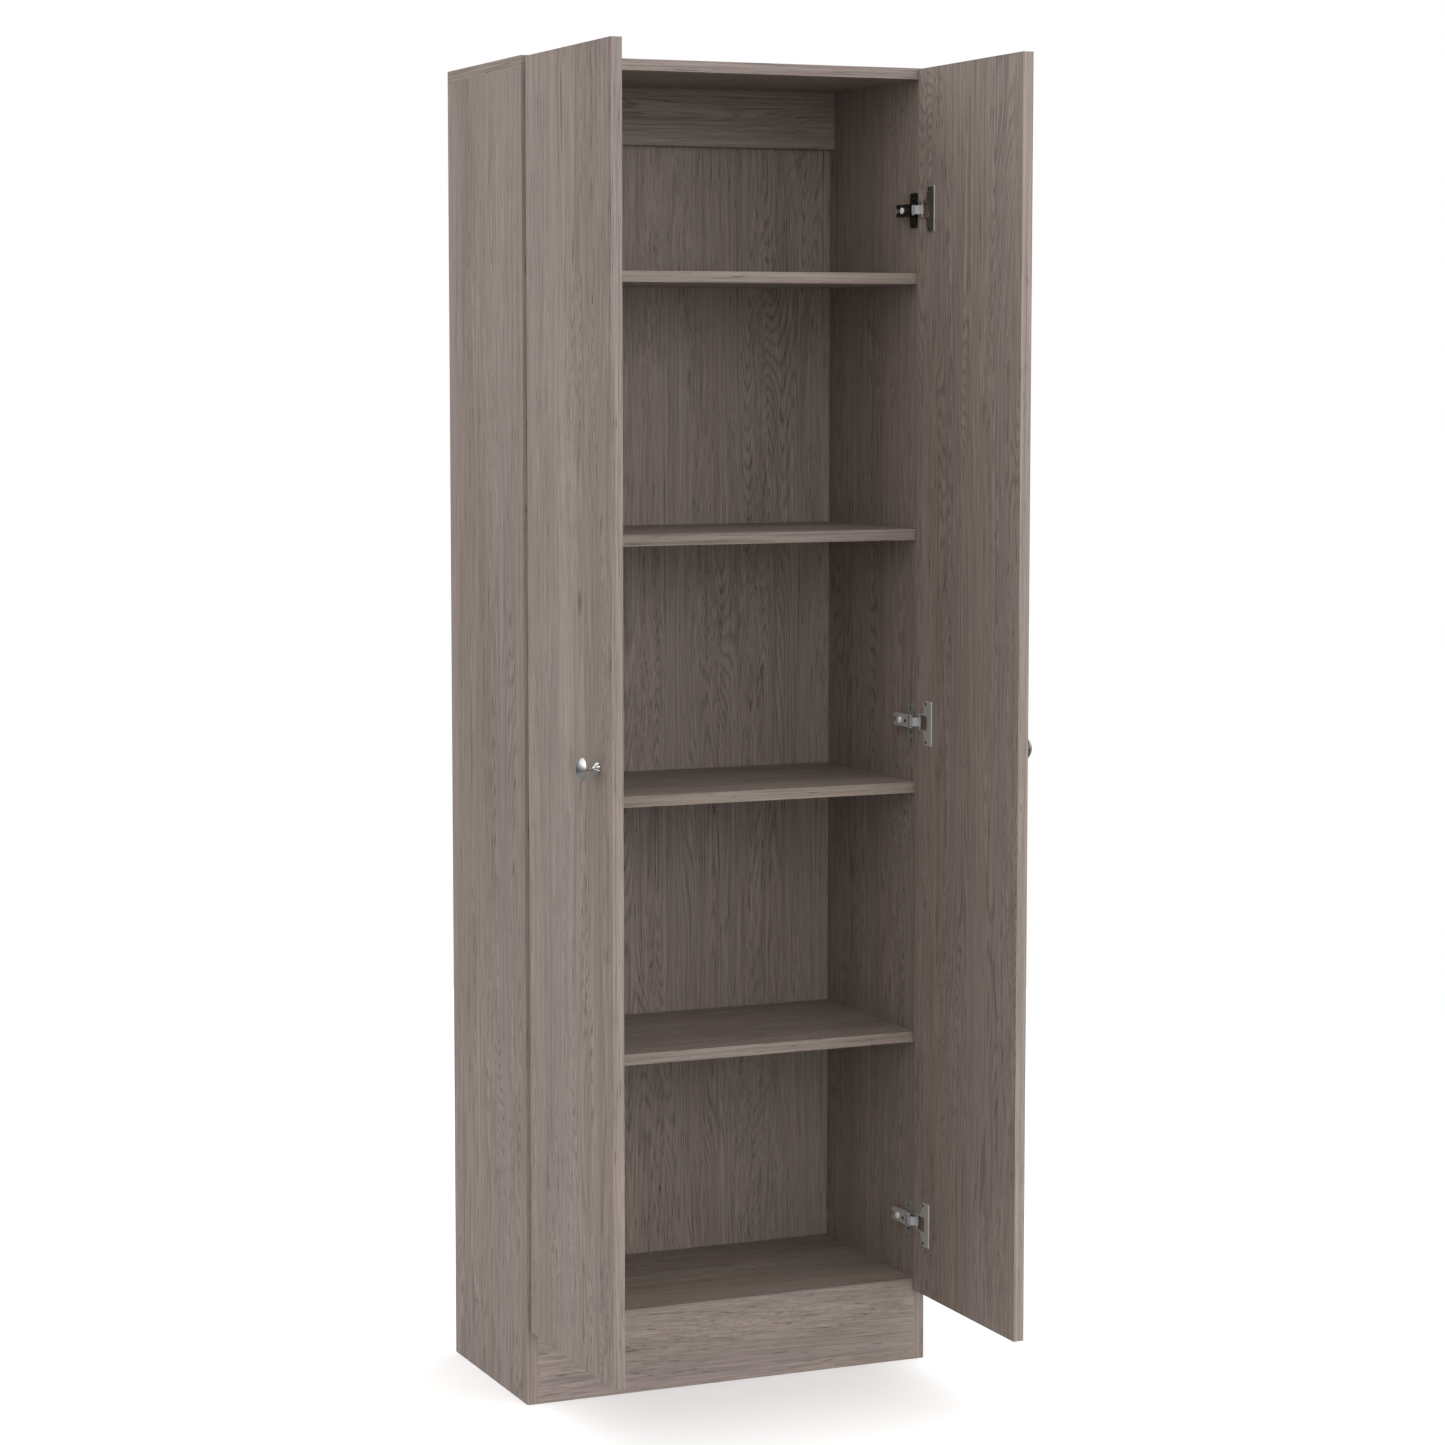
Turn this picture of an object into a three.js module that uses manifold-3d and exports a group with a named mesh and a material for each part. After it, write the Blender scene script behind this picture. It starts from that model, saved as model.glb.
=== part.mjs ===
// Tall two-door pantry cabinet: board carcass with fixed shelves, slab doors and concealed cup hinges.
// Millimetres, +Z up, the doors' side faces -Y. The origin is on the floor under the bounding box centre.
// The doors stand open at a right angle. Everything on the left is also built mirrored on the right.
import * as THREE from 'three';
import { mergeVertices } from 'three/addons/utils/BufferGeometryUtils.js';
import Module from 'manifold-3d';

const wasm = await Module();
wasm.setup();

// ---- driving dimensions ----
const cabinetWidth = 600;
const cabinetHeight = 1808;
const cabinetDepth = 288;
const boardThickness = 15;

const backThickness = 3;
const backHousing = 7;            // how far the back panel reaches into each side panel
const backBottomZ = 95;
const kickHeight = 115.8;
const shelfCount = 4;
const shelfPitch = 353.3;
const shelfSetback = 5;
const railHeight = 80;

const doorWidth = 297;
const doorHeight = 1705;
const doorBottomZ = 101.5;
const closedGap = 2.5;            // shut door's inner face to the carcass front
const closedReveal = 1.5;         // shut door's hinge edge to the cabinet's outer side
const openInset = 4.3;            // open door's inner face past the side panel's inner face
const openGap = 3.6;              // open door's hinge edge in front of the carcass front

const hingeHeights = [202, 908.5, 1615];
const hingeNames = ['lower', 'middle', 'upper'];
const cupPivot = { across: 10.5, deep: 1.5 };   // from the door's hinge edge, and into its inner face
const nosePivotReach = 18.5;      // from the door's pole to the pivot on the hinge arm

const knobInset = 48;             // knob axis to the door's free edge
const knobZ = 894;
const fit = 0.3;                  // gap between parts that were cut for each other
const past = 1;                   // how far a cutting tool reaches past the face it cuts
const arcSteps = 2;               // half the straight steps in each arc of an outline

// ---- worked out from the driving dimensions ----
const frontY = (doorWidth + openGap - cabinetDepth) / 2;
const backY = frontY + cabinetDepth;
const backPanelY = backY - backThickness;
const innerX = cabinetWidth / 2 - boardThickness;
const innerWidth = 2 * innerX;
const topUndersideZ = cabinetHeight - boardThickness;
const openInnerX = -innerX + openInset;         // inner face of the open left door
const openOuterX = openInnerX - boardThickness;
const openEdgeY = frontY - openGap;             // hinge edge of the open left door

// ---- materials ----
const oak = new THREE.MeshStandardMaterial({ color: 0x8b8177, roughness: 0.62, metalness: 0 });
const oakBack = new THREE.MeshStandardMaterial({ color: 0x857a70, roughness: 0.66, metalness: 0 });
const nickel = new THREE.MeshStandardMaterial({ color: 0xa9aaa6, roughness: 0.32, metalness: 1 });
const steel = new THREE.MeshStandardMaterial({ color: 0x9b9c98, roughness: 0.4, metalness: 1 });
const chrome = new THREE.MeshStandardMaterial({ color: 0xc9cbcc, roughness: 0.18, metalness: 1 });

// ---- geometry helpers ----
const vec = (x, y) => new THREE.Vector2(x, y);

function toSolid(geometry) {
  const bare = geometry.clone();
  bare.deleteAttribute('normal');
  bare.deleteAttribute('uv');
  const merged = mergeVertices(bare, 1e-4);
  const mesh = new wasm.Mesh({
    numProp: 3,
    vertProperties: new Float32Array(merged.attributes.position.array),
    triVerts: new Uint32Array(merged.index.array),
  });
  return new wasm.Manifold(mesh);
}

function toGeometry(solid) {
  const mesh = solid.getMesh();
  const geometry = new THREE.BufferGeometry();
  geometry.setAttribute('position', new THREE.BufferAttribute(new Float32Array(mesh.vertProperties), 3));
  geometry.setIndex(new THREE.BufferAttribute(new Uint32Array(mesh.triVerts), 1));
  geometry.computeVertexNormals();
  return geometry;
}

const join = (...pieces) => pieces.map(toSolid).reduce((a, b) => a.add(b));
const cut = (solid, ...tools) => tools.map(toSolid).reduce((a, b) => a.subtract(b), solid);

function block([x0, x1], [y0, y1], [z0, z1]) {
  const geometry = new THREE.BoxGeometry(x1 - x0, y1 - y0, z1 - z0);
  return geometry.translate((x0 + x1) / 2, (y0 + y1) / 2, (z0 + z1) / 2);
}

function upright(outline, [z0, z1]) {
  // an XY outline raised from z0 to z1
  const options = { depth: z1 - z0, bevelEnabled: false, curveSegments: arcSteps };
  return new THREE.ExtrudeGeometry(outline, options).translate(0, 0, z0);
}

function sideways(outline, [x0, x1]) {
  // a YZ outline carried from x0 to x1
  const options = { depth: x1 - x0, bevelEnabled: false, curveSegments: arcSteps };
  const turn = new THREE.Matrix4().makeBasis(
    new THREE.Vector3(0, 1, 0), new THREE.Vector3(0, 0, 1), new THREE.Vector3(1, 0, 0));
  return new THREE.ExtrudeGeometry(outline, options).applyMatrix4(turn).translate(x0, 0, 0);
}

function roundedRect([a0, a1], [b0, b1], r) {
  const shape = new THREE.Shape();
  shape.moveTo(a0 + r, b0);
  shape.lineTo(a1 - r, b0);
  shape.absarc(a1 - r, b0 + r, r, -Math.PI / 2, 0);
  shape.lineTo(a1, b1 - r);
  shape.absarc(a1 - r, b1 - r, r, 0, Math.PI / 2);
  shape.lineTo(a0 + r, b1);
  shape.absarc(a0 + r, b1 - r, r, Math.PI / 2, Math.PI);
  shape.lineTo(a0, b0 + r);
  shape.absarc(a0 + r, b0 + r, r, Math.PI, Math.PI * 1.5);
  return shape;
}

const rodZ = (x, y, r, [z0, z1], sides = 12) =>
  new THREE.CylinderGeometry(r, r, z1 - z0, sides).rotateX(Math.PI / 2).translate(x, y, (z0 + z1) / 2);
const rodX = (y, z, r, [x0, x1], sides = 16) =>
  new THREE.CylinderGeometry(r, r, x1 - x0, sides).rotateZ(Math.PI / 2).translate((x0 + x1) / 2, y, z);

function mirrored(geometry) {
  const copy = geometry.clone();
  const position = copy.attributes.position;
  for (let i = 0; i < position.count; i++) {
    position.setX(i, -position.getX(i));
  }
  const index = copy.index;
  for (let i = 0; i < index.count; i += 3) {
    const first = index.getX(i);
    index.setX(i, index.getX(i + 2));
    index.setX(i + 2, first);
  }
  copy.computeVertexNormals();
  return copy;
}

// ---- the cabinet and its parts ----
const cabinet = new THREE.Group();

function add(name, geometry, material, z = 0) {
  const mesh = new THREE.Mesh(geometry, material);
  mesh.name = name;
  mesh.position.z = z;
  cabinet.add(mesh);
}

function addPair(name, solid, material, z = 0) {
  const left = toGeometry(solid);
  add(`left_${name}`, left, material, z);
  add(`right_${name}`, mirrored(left), material, z);
}

function sidePanel() {
  const panel = block([-cabinetWidth / 2, -innerX], [frontY, backY], [0, topUndersideZ]);
  const housingX = [-innerX - backHousing, -innerX + past];
  const housing = block(housingX, [backPanelY, backY + past], [-past, topUndersideZ + past]);
  return cut(toSolid(panel), housing);
}

function carcassBoards() {
  const acrossInside = [-innerX, innerX];
  const behindKick = [frontY + boardThickness, backPanelY];
  const halfWidth = cabinetWidth / 2;
  add('top_panel', block([-halfWidth, halfWidth], [frontY, backY], [topUndersideZ, cabinetHeight]), oak);
  add('toe_kick', block(acrossInside, [frontY, frontY + boardThickness], [0, kickHeight]), oak);
  add('bottom_panel', block(acrossInside, behindKick, [kickHeight - boardThickness, kickHeight]), oak);
  const backHalf = innerX + backHousing - fit;
  add('back_panel', block([-backHalf, backHalf], [backPanelY, backY], [backBottomZ, topUndersideZ]), oakBack);
  const railY = [backPanelY - boardThickness, backPanelY];
  add('top_rail', block(acrossInside, railY, [topUndersideZ - railHeight, topUndersideZ]), oak);
  for (let n = 1; n <= shelfCount; n++) {
    const topZ = kickHeight + shelfPitch * (shelfCount + 1 - n);
    const depth = [frontY + shelfSetback, backPanelY];
    add(`shelf_${n}`, block(acrossInside, depth, [topZ - boardThickness, topZ]), oak);
  }
}

// ---- hinge pivots, worked out on the left door ----
// The plane coordinates are X and Y. The pole is the point about which the door turns from shut to open.
const shutCorner = vec(-cabinetWidth / 2 + closedReveal, frontY - closedGap);
const openCorner = vec(openInnerX, openEdgeY);
const pole = vec(
  (openCorner.x + openCorner.y + shutCorner.x - shutCorner.y) / 2,
  (openCorner.y - openCorner.x + shutCorner.x + shutCorner.y) / 2);
const shutCup = vec(shutCorner.x + cupPivot.across, shutCorner.y - cupPivot.deep);
const openCup = vec(openCorner.x - cupPivot.deep, openCorner.y - cupPivot.across);
const noseAngle = Math.atan2(shutCup.y - pole.y, shutCup.x - pole.x) - Math.PI / 4;
const nosePivot = vec(
  pole.x + nosePivotReach * Math.cos(noseAngle),
  pole.y + nosePivotReach * Math.sin(noseAngle));

// ---- hinge parts, about z = 0 ----
const cup = {
  across: [5.6, 38.6],            // outer ends of the cup, from the door's hinge edge
  halfHeight: 11.4,
  deep: 11.6,
  wall: 1,
  flange: 1.6,
  corner: 5,
  wing: [28, 50.5],               // the tall wing plate that carries the screws
  wingHalf: 31,
  neck: 5,                        // slope from the wing plate in to the cup's rim
  tipCorner: 4,
  wingCorner: [3.5, 2],           // chamfers on the wing plate, nearer the cup and away from it
  screwAcross: 33,
  screwHalf: 26.6,
  screwRadius: 2.1,
};
const arm = {                     // heights are over the side panel, lengths behind the carcass front
  width: 17,
  sheet: 1.2,
  top: 12.6,
  low: 5.4,
  web: 3.6,
  cheek: 6,
  rear: 46,
  noseRadius: 3.1,
  adjuster: 11,
  adjusterRadius: 2.4,
  notch: 39,
  notchHalf: 3.2,
};
const plate = {
  wing: [5, 25],
  wingHalf: 24,
  corner: 4,
  sheet: 2.2,
  spineHalf: 5.8,
  spineTop: 4.8,
  rear: 50,
  slotAt: 16.5,                   // slots above and below the arm
  slotHalf: [1.8, 4.5],
};
const fixing = {
  y: 27,
  travel: 3,
  shank: 2.2,
  head: 2.2,
  headRadius: 4.4,
  drive: [0.55, 2.5],
  driveDepth: 1.4,
};
const pinRadius = 1.3;
const pinRecess = 0.4;            // how far a pin's ends stay inside the sheet it passes through
const pinHoleZ = [-20, 20];
const link = { half: 6.1, eye: 2.5, sheet: 2.3, bow: 5.2, steps: 7 };

const doorY = (across) => openEdgeY - across;
const doorX = (deep) => openInnerX - deep;

function cupOutline(grow = 0) {
  const ends = [doorY(cup.across[1]) - grow, doorY(cup.across[0]) + grow];
  return roundedRect(ends, [-cup.halfHeight - grow, cup.halfHeight + grow], cup.corner + grow);
}

function flangeOutline() {
  // the upper half from the wing plate's far corner round to the tip, then the lower half back again
  const [near, far] = cup.wing.map(doorY);
  const [nearCorner, farCorner] = cup.wingCorner;
  const tip = doorY(cup.across[0]);
  const upper = [
    [far, cup.wingHalf - farCorner],
    [far + farCorner, cup.wingHalf],
    [near - nearCorner, cup.wingHalf],
    [near, cup.wingHalf - nearCorner],
    [near, cup.halfHeight + cup.neck],
    [near + cup.neck, cup.halfHeight],
    [tip - cup.tipCorner, cup.halfHeight],
    [tip, cup.halfHeight - cup.tipCorner],
  ];
  const lower = upper.map(([y, z]) => [y, -z]).reverse();
  return new THREE.Shape([...upper, ...lower].map(([y, z]) => vec(y, z)));
}

function hingeCup() {
  const flange = sideways(flangeOutline(), [doorX(0), doorX(-cup.flange)]);
  const shell = sideways(cupOutline(), [doorX(cup.deep), doorX(-cup.flange / 2)]);
  const hollow = sideways(cupOutline(-cup.wall), [doorX(cup.deep - cup.wall), doorX(-cup.flange - past)]);
  const pinHole = rodZ(openCup.x, openCup.y, pinRadius + fit, pinHoleZ);
  const through = [doorX(past), doorX(-cup.flange - past)];
  const screws = [-cup.screwHalf, cup.screwHalf].map((z) =>
    rodX(doorY(cup.screwAcross), z, cup.screwRadius, through));
  return cut(join(flange, shell), hollow, pinHole, ...screws);
}

function cupPin() {
  const half = cup.halfHeight - pinRecess;
  return toSolid(rodZ(openCup.x, openCup.y, pinRadius, [-half, half]));
}

function armCheek(side) {
  const shape = new THREE.Shape();
  const top = -innerX + arm.top;
  const low = -innerX + arm.low;
  shape.moveTo(top, frontY + arm.rear);
  shape.lineTo(low, frontY + arm.rear);
  shape.lineTo(low, frontY + arm.cheek);
  shape.lineTo(nosePivot.x - arm.noseRadius, nosePivot.y);
  shape.absarc(nosePivot.x, nosePivot.y, arm.noseRadius, Math.PI, Math.PI * 2);
  shape.lineTo(top, frontY + arm.web);
  shape.closePath();
  const outer = side * arm.width / 2;
  const inner = side * (arm.width / 2 - arm.sheet);
  return upright(shape, [Math.min(outer, inner), Math.max(outer, inner)]);
}

function hingeArm() {
  const top = -innerX + arm.top;
  const webY = [frontY + arm.web, frontY + arm.rear];
  const web = block([top - arm.sheet, top], webY, [-arm.width / 2, arm.width / 2]);
  const pinHole = rodZ(nosePivot.x, nosePivot.y, pinRadius + fit, pinHoleZ);
  const through = [top - arm.sheet - past, top + past];
  const slotHalf = fixing.shank + fit;
  const slotY = [-1, 1].map((end) => frontY + fixing.y + end * (fixing.travel + slotHalf));
  const slot = sideways(roundedRect(slotY, [-slotHalf, slotHalf], slotHalf - 0.01), through);
  const adjuster = rodX(frontY + arm.adjuster, 0, arm.adjusterRadius, through);
  const notchY = [frontY + arm.notch, frontY + arm.rear + 2 * arm.notchHalf];
  const notch = sideways(roundedRect(notchY, [-arm.notchHalf, arm.notchHalf], arm.notchHalf - 0.2), through);
  return cut(join(web, armCheek(-1), armCheek(1)), pinHole, slot, adjuster, notch);
}

function armPin() {
  const half = arm.width / 2 - pinRecess;
  return toSolid(rodZ(nosePivot.x, nosePivot.y, pinRadius, [-half, half]));
}

function mountingPlate() {
  const wall = -innerX;
  const wingY = plate.wing.map((y) => frontY + y);
  const wingZ = [-plate.wingHalf, plate.wingHalf];
  const wings = sideways(roundedRect(wingY, wingZ, plate.corner), [wall, wall + plate.sheet]);
  const spineY = [frontY + plate.wing[0], frontY + plate.rear];
  const spine = block([wall, wall + plate.spineTop], spineY, [-plate.spineHalf, plate.spineHalf]);
  const middleY = (wingY[0] + wingY[1]) / 2;
  const [slotHalfY, slotHalfZ] = plate.slotHalf;
  const slots = [-plate.slotAt, plate.slotAt].map((z) => {
    const outline = roundedRect(
      [middleY - slotHalfY, middleY + slotHalfY], [z - slotHalfZ, z + slotHalfZ], slotHalfY - 0.01);
    return sideways(outline, [wall - past, wall + plate.sheet + past]);
  });
  const bore = rodX(frontY + fixing.y, 0, fixing.shank + fit, [wall + past, wall + plate.spineTop + past]);
  return cut(join(wings, spine), ...slots, bore);
}

function fixingScrew() {
  const seat = -innerX + arm.top + 0.1;
  const top = seat + fixing.head;
  const y = frontY + fixing.y;
  const head = rodX(y, 0, fixing.headRadius, [seat, top]);
  const shank = rodX(y, 0, fixing.shank, [-innerX + past + 0.2, seat + 0.1]);
  const drive = [fixing.drive, [...fixing.drive].reverse()].map(([a, b]) =>
    block([top - fixing.driveDepth, top + past], [y - a, y + a], [-b, b]));
  return cut(join(head, shank), ...drive);
}

function hingeLink() {
  // a curved strip that leaves the nose pivot, passes round the door's edge and ends at the cup pivot
  const reach = vec(openCup.x - nosePivot.x, openCup.y - nosePivot.y);
  const outward = vec(-reach.y, reach.x).normalize();
  const middle = vec(
    (nosePivot.x + openCup.x) / 2 + outward.x * link.bow * 2,
    (nosePivot.y + openCup.y) / 2 + outward.y * link.bow * 2);
  const spine = new THREE.QuadraticBezierCurve(nosePivot, middle, openCup).getPoints(link.steps);
  const sideOf = (offset) => spine.map((point, i) => {
    const before = spine[Math.max(i - 1, 0)];
    const after = spine[Math.min(i + 1, spine.length - 1)];
    const along = vec(after.x - before.x, after.y - before.y).normalize();
    return vec(point.x - along.y * offset, point.y + along.x * offset);
  });
  const outline = new THREE.Shape([...sideOf(link.sheet / 2), ...sideOf(-link.sheet / 2).reverse()]);
  const height = [-link.half, link.half];
  const strip = upright(outline, height);
  const eyes = [nosePivot, openCup].map((pivot) => rodZ(pivot.x, pivot.y, link.eye, height));
  const holes = [nosePivot, openCup].map((pivot) => rodZ(pivot.x, pivot.y, pinRadius + fit, pinHoleZ));
  return cut(join(strip, ...eyes), ...holes);
}

function hinges() {
  const parts = [
    ['hinge_plate', mountingPlate(), nickel],
    ['hinge_arm', hingeArm(), nickel],
    ['hinge_arm_pin', armPin(), steel],
    ['hinge_fixing_screw', fixingScrew(), steel],
    ['hinge_link', hingeLink(), steel],
    ['hinge_cup', hingeCup(), nickel],
    ['hinge_cup_pin', cupPin(), steel],
  ];
  hingeHeights.forEach((z, i) => {
    for (const [name, solid, material] of parts) {
      addPair(`${hingeNames[i]}_${name}`, solid, material, z);
    }
  });
}

// ---- door and knob ----
const knobY = openEdgeY - doorWidth + knobInset;
const knobProfile = [                            // radius, and height off the door
  [0, 0], [7.9, 0], [7.9, 1.2], [5.4, 5], [2.9, 8.2], [2.1, 10], [2.1, 14.6], [3.2, 16.2],
  [14.9, 21.2], [15.2, 21.9], [13.2, 24.6], [9.6, 27], [5, 28.5], [0, 29],
];
const knobSides = 20;
const flute = { count: 8, near: 0.5, far: 1.5, length: 11, height: 4, out: 8.2 };

function door() {
  const slabY = [openEdgeY - doorWidth, openEdgeY];
  const slab = block([openOuterX, openInnerX], slabY, [doorBottomZ, doorBottomZ + doorHeight]);
  const pockets = hingeHeights.map((z) =>
    sideways(cupOutline(fit), [doorX(cup.deep + fit), doorX(-past)]).translate(0, 0, z));
  return cut(toSolid(slab), ...pockets);
}

function knob() {
  const outline = knobProfile.map(([r, h]) => vec(r, h));
  const turned = new THREE.LatheGeometry(outline, knobSides).rotateZ(Math.PI / 2).translate(openOuterX, 0, 0);
  const grooves = Array.from({ length: flute.count }, (_, n) => {
    const angle = (n + 0.5) * 2 * Math.PI / flute.count;
    const groove = new THREE.CylinderGeometry(flute.far, flute.near, flute.length, 6).rotateZ(-Math.PI / 2);
    return groove.translate(openOuterX - flute.height, 0, flute.out).rotateX(angle);
  });
  return cut(toSolid(turned), ...grooves).translate([0, knobY, knobZ]);
}

carcassBoards();
addPair('side_panel', sidePanel(), oak);
addPair('door', door(), oak);
addPair('knob', knob(), chrome);
hinges();

export default cabinet;
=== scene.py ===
import math

import bmesh
import bpy
from mathutils import Matrix, Vector


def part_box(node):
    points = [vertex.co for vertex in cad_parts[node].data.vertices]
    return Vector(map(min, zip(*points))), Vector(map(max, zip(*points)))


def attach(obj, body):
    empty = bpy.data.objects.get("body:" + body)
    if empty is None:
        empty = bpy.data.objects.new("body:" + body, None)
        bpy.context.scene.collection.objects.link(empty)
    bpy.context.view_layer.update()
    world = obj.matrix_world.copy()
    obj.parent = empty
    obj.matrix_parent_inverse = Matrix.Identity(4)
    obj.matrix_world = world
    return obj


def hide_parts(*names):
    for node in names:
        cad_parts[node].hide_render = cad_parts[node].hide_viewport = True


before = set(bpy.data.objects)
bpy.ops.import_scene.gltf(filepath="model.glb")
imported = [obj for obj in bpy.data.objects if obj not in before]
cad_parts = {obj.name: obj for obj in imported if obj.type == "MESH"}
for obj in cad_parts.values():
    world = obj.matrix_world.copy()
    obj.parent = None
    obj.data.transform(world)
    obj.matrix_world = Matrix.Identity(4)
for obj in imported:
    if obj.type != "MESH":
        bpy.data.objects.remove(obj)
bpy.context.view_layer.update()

MM = 0.001
AXES = "XYZ"


# ---- shader helper ----
class Shader:
    """A material's node tree, with a short call for each kind of node used here."""

    def __init__(self, name):
        self.material = bpy.data.materials.new(name)
        self.material.use_nodes = True
        self.nodes = self.material.node_tree.nodes
        self.links = self.material.node_tree.links
        self.surface = self.nodes["Principled BSDF"]

    def node(self, kind, inputs=(), **settings):
        made = self.nodes.new(kind)
        for key, value in settings.items():
            setattr(made, key, value)
        for key, value in dict(inputs).items():
            self.put(value, made.inputs[key])
        return made

    def put(self, value, socket):
        if isinstance(value, bpy.types.NodeSocket):
            self.links.new(value, socket)
        else:
            socket.default_value = value

    def calc(self, operation, a, b=0.0, c=0.0):
        made = self.node("ShaderNodeMath", {0: a, 1: b, 2: c}, operation=operation)
        return made.outputs[0]

    def blend(self, share, a, b):
        """a where share is 0 and b where it is 1, as a number."""
        made = self.node("ShaderNodeMix", {0: share, 2: a, 3: b}, data_type="FLOAT")
        return made.outputs[0]

    def tint(self, share, a, b, kind="MIX"):
        """a where share is 0 and b where it is 1, as a colour."""
        made = self.node(
            "ShaderNodeMix", {0: share, 6: a, 7: b}, data_type="RGBA", blend_type=kind
        )
        return made.outputs[2]

    def step(self, value, low, high):
        """0 below low, 1 above high, smooth in between."""
        made = self.node(
            "ShaderNodeMapRange",
            {"Value": value, "From Min": low, "From Max": high},
            interpolation_type="SMOOTHSTEP",
        )
        return made.outputs[0]

    def vector(self, x, y, z):
        return self.node("ShaderNodeCombineXYZ", {0: x, 1: y, 2: z}).outputs[0]

    def scaled(self, vector, by):
        made = self.node("ShaderNodeVectorMath", {0: vector, 1: by}, operation="MULTIPLY")
        return made.outputs[0]

    def noise(self, vector, detail=2.0, roughness=0.5, distortion=0.0):
        made = self.node(
            "ShaderNodeTexNoise",
            {
                "Vector": vector,
                "Scale": 1.0,
                "Detail": detail,
                "Roughness": roughness,
                "Distortion": distortion,
            },
        )
        return made.outputs["Factor" if "Factor" in made.outputs else "Fac"]

    def bump(self, height, distance, strength=1.0):
        made = self.node(
            "ShaderNodeBump", {"Height": height, "Distance": distance, "Strength": strength}
        )
        self.put(made.outputs[0], self.surface.inputs["Normal"])


def colour(red, green, blue):
    """A colour given as 0 to 255, as the shader's linear values."""
    channels = [c / 255 for c in (red, green, blue)]
    linear = [c / 12.92 if c < 0.04045 else ((c + 0.055) / 1.055) ** 2.4 for c in channels]
    return (*linear, 1.0)


# ---- oak laminate ----
OAK_DARK = colour(66, 57, 52)
OAK_PALE = colour(160, 147, 139)
OAK_MAUVE = (1.0, 0.973, 1.005, 1.0)
OAK_STRAW = (0.988, 0.99, 0.945, 1.0)
RAW_DARK = colour(124, 101, 80)
RAW_PALE = colour(156, 131, 106)
BAND_LINE = 0.9 * MM              # glue line of the edge banding, from the board's outline
BAND_LINE_HALF = 0.16 * MM


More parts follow.
